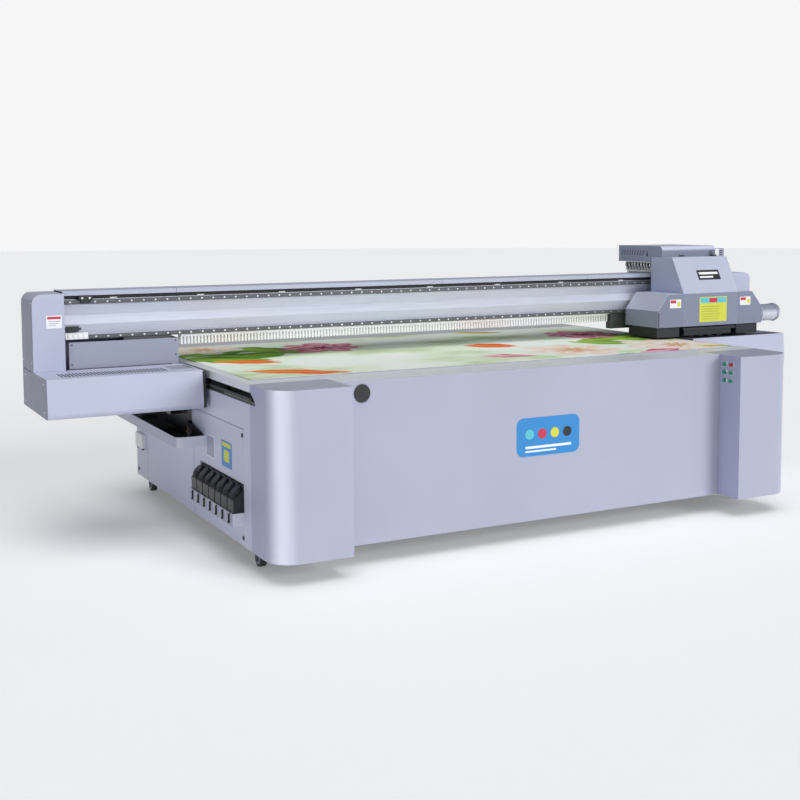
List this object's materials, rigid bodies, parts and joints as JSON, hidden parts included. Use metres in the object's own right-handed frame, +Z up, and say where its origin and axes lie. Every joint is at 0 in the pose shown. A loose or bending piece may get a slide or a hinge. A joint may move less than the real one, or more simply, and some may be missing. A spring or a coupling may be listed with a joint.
{
  "type": "flatbed uv printer",
  "caption": "Flatbed UV inkjet printer with a fixed vacuum table, moving gantry, print carriage on a beam, side service boxes, ink rack and push buttons.",
  "frame": {"origin": "on the floor, under the middle of the machine's bounding box", "axes": "+X along the beam to the right of someone facing the front, +Y to the back, +Z up"},
  "size_m": [4.5, 2.164, 1.405],
  "materials": {
    "paint_light": "satin",
    "paint_shade": "satin",
    "frame_steel": "semi-matt",
    "rail_steel": "ground",
    "deck_plate": "satin",
    "beam_aluminium": "anodised",
    "black_metal": "semi-gloss",
    "black_plastic": "matt",
    "pale_plastic": "matt",
    "rubber_black": "matt",
    "tube_clear": "smooth",
    "print_board": "printed",
    "button_green": "gloss",
    "button_red": "gloss"
  },
  "bodies": {
    "base": {"base_frame": "frame_steel", "levelling_feet": "black_metal", "table_deck": "deck_plate", "print_sheet": "print_board", "left_front_pillar": "paint_light", "right_front_pillar": "paint_light", "front_panel": "paint_light", "left_side_panel": "paint_shade", "right_side_panel": "paint_shade", "side_rail_covers": "paint_light", "rear_panel": "paint_shade", "y_rails": "rail_steel", "y_racks": "rail_steel", "electrical_cabinet": "paint_shade", "vacuum_blowers": "black_metal", "chain_tray": "paint_light", "ink_rack": "paint_light", "ink_bottles": "black_plastic", "ink_caps": "black_plastic", "rear_caster_forks": "black_metal"},
    "gantry": {"gantry_beam": "beam_aluminium", "beam_top_cover": "paint_light", "x_rails": "rail_steel", "end_covers": "paint_light", "left_service_box": "paint_light", "right_service_box": "paint_light", "leg_panels": "paint_light", "gantry_legs": "frame_steel", "y_bearing_blocks": "black_metal", "wiring_comb": "pale_plastic", "x_belt": "rubber_black", "drive_motors": "black_metal", "chain_trunk": "paint_shade"},
    "carriage": {"carriage_saddle": "rail_steel", "x_bearing_blocks": "black_metal"},
    "head": {"head_frame": "beam_aluminium", "print_heads": "black_metal", "carriage_hood": "paint_light", "top_box": "paint_light", "uv_lamp_left": "paint_light", "uv_lamp_right": "paint_light", "ink_tubes": "tube_clear"},
    "carriage_chain": {"x_drag_chain": "black_plastic"},
    "gantry_chain": {"y_drag_chain": "black_plastic"},
    "left_pulley": {"drive_pulley": "beam_aluminium"},
    "right_pulley": {"idler_pulley": "beam_aluminium"},
    "gantry_pinions": {"y_pinions": "rail_steel"},
    "caps": {"capping_tray": "black_plastic"},
    "left_swivel": {"caster_fork_left": "black_metal"},
    "right_swivel": {"caster_fork_right": "black_metal"},
    "wheel_front_left": {"caster_wheel_front_left": "rubber_black"},
    "wheel_front_right": {"caster_wheel_front_right": "rubber_black"},
    "wheel_rear_left": {"caster_wheel_rear_left": "rubber_black"},
    "wheel_rear_right": {"caster_wheel_rear_right": "rubber_black"},
    "push_button_1": {"button_1": "button_green"},
    "push_button_2": {"button_2": "button_red"},
    "push_button_3": {"button_3": "button_green"},
    "push_button_4": {"button_4": "button_green"},
    "push_button_5": {"button_5": "button_green"},
    "push_button_6": {"button_6": "button_green"}
  },
  "joints": [
    {"name": "gantry_travel", "type": "slide", "parent": "base", "child": "gantry", "axis": [0, 1, 0], "range_m": [-0.6, 0.68]},
    {"name": "carriage_travel", "type": "slide", "parent": "gantry", "child": "carriage", "axis": [1, 0, 0], "range_m": [-3.35, 0]},
    {"name": "head_lift", "type": "slide", "parent": "carriage", "child": "head", "axis": [0, 0, 1], "range_m": [0, 0.08]},
    {"name": "carriage_chain_travel", "type": "slide", "parent": "gantry", "child": "carriage_chain", "axis": [1, 0, 0], "range_m": [-1.675, 0]},
    {"name": "gantry_chain_travel", "type": "slide", "parent": "base", "child": "gantry_chain", "axis": [0, 1, 0], "range_m": [-0.3, 0.34]},
    {"name": "left_pulley_spin", "type": "hinge", "parent": "gantry", "child": "left_pulley", "pos_m": [-2.16, 0.145, 1.2045], "axis": [0, 0, 1], "range_deg": [-7400, 10]},
    {"name": "right_pulley_spin", "type": "hinge", "parent": "gantry", "child": "right_pulley", "pos_m": [2.16, 0.145, 1.2045], "axis": [0, 0, 1], "range_deg": [-7400, 10]},
    {"name": "pinion_spin", "type": "hinge", "parent": "gantry", "child": "gantry_pinions", "pos_m": [1.46, 0.285, 0.785], "axis": [1, 0, 0], "range_deg": [-1870, 1650]},
    {"name": "cap_lift", "type": "slide", "parent": "gantry", "child": "caps", "axis": [0, 0, 1], "range_m": [0, 0.015]},
    {"name": "left_swivel_turn", "type": "hinge", "parent": "base", "child": "left_swivel", "pos_m": [-1.41, -0.74, 0.1], "axis": [0, 0, 1], "continuous": true},
    {"name": "right_swivel_turn", "type": "hinge", "parent": "base", "child": "right_swivel", "pos_m": [1.41, -0.74, 0.1], "axis": [0, 0, 1], "continuous": true},
    {"name": "wheel_front_left_roll", "type": "hinge", "parent": "left_swivel", "child": "wheel_front_left", "pos_m": [-1.41, -0.715, 0.0415], "axis": [1, 0, 0], "continuous": true},
    {"name": "wheel_front_right_roll", "type": "hinge", "parent": "right_swivel", "child": "wheel_front_right", "pos_m": [1.41, -0.715, 0.0415], "axis": [1, 0, 0], "continuous": true},
    {"name": "wheel_rear_left_roll", "type": "hinge", "parent": "base", "child": "wheel_rear_left", "pos_m": [-1.41, 1.025, 0.0415], "axis": [1, 0, 0], "continuous": true},
    {"name": "wheel_rear_right_roll", "type": "hinge", "parent": "base", "child": "wheel_rear_right", "pos_m": [1.41, 1.025, 0.0415], "axis": [1, 0, 0], "continuous": true},
    {"name": "button_1_press", "type": "slide", "parent": "base", "child": "push_button_1", "axis": [1, 0, 0], "range_m": [0, 0.004], "stiffness_N_per_m": 600, "springref_m": -0.003},
    {"name": "button_2_press", "type": "slide", "parent": "base", "child": "push_button_2", "axis": [1, 0, 0], "range_m": [0, 0.004], "stiffness_N_per_m": 600, "springref_m": -0.003},
    {"name": "button_3_press", "type": "slide", "parent": "base", "child": "push_button_3", "axis": [1, 0, 0], "range_m": [0, 0.004], "stiffness_N_per_m": 600, "springref_m": -0.003},
    {"name": "button_4_press", "type": "slide", "parent": "base", "child": "push_button_4", "axis": [1, 0, 0], "range_m": [0, 0.004], "stiffness_N_per_m": 600, "springref_m": -0.003},
    {"name": "button_5_press", "type": "slide", "parent": "base", "child": "push_button_5", "axis": [1, 0, 0], "range_m": [0, 0.004], "stiffness_N_per_m": 600, "springref_m": -0.003},
    {"name": "button_6_press", "type": "slide", "parent": "base", "child": "push_button_6", "axis": [1, 0, 0], "range_m": [0, 0.004], "stiffness_N_per_m": 600, "springref_m": -0.003}
  ],
  "couplings": [
    {"joint": "carriage_chain_travel", "follows": "carriage_travel", "ratio": 0.5},
    {"joint": "gantry_chain_travel", "follows": "gantry_travel", "ratio": 0.5},
    {"joint": "left_pulley_spin", "follows": "carriage_travel", "rad_per_m": 38.462},
    {"joint": "right_pulley_spin", "follows": "carriage_travel", "rad_per_m": 38.462},
    {"joint": "pinion_spin", "follows": "gantry_travel", "rad_per_m": -47.619}
  ]
}
